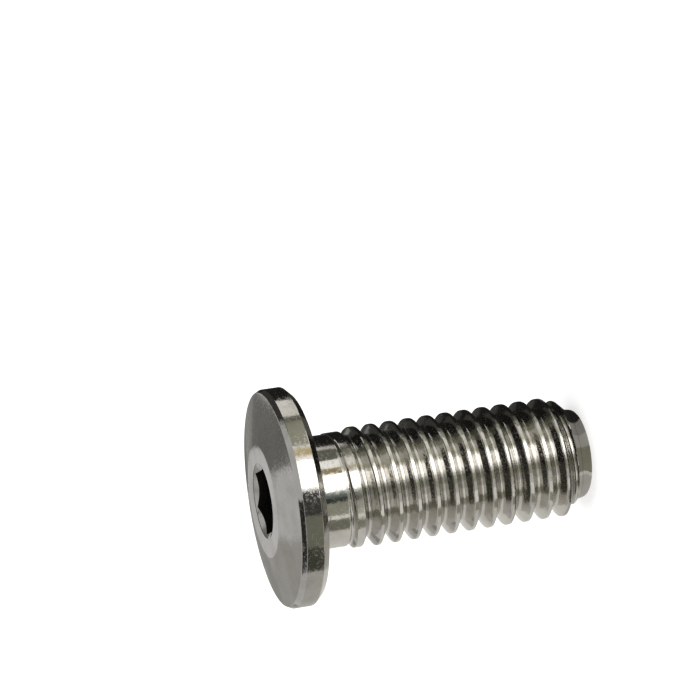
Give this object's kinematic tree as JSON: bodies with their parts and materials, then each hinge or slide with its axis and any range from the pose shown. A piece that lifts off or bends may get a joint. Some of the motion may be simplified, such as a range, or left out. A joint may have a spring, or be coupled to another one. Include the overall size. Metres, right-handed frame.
{
  "type": "bottle cage bolt",
  "caption": "Low-head machine screw with a crowned round head, hex socket, plain neck and right-hand metric thread, for holding a bottle cage to a bicycle frame.",
  "frame": {"origin": "middle of the tip's end, on which the bolt stands", "axes": "+Z along the bolt's axis from the tip to the head"},
  "size_m": [0.009, 0.009, 0.0136],
  "materials": {
    "metal": "turned and polished warm grey metal, judged to be titanium alloy"
  },
  "bodies": {
    "root": {"bolt": "metal"}
  },
  "joints": []
}
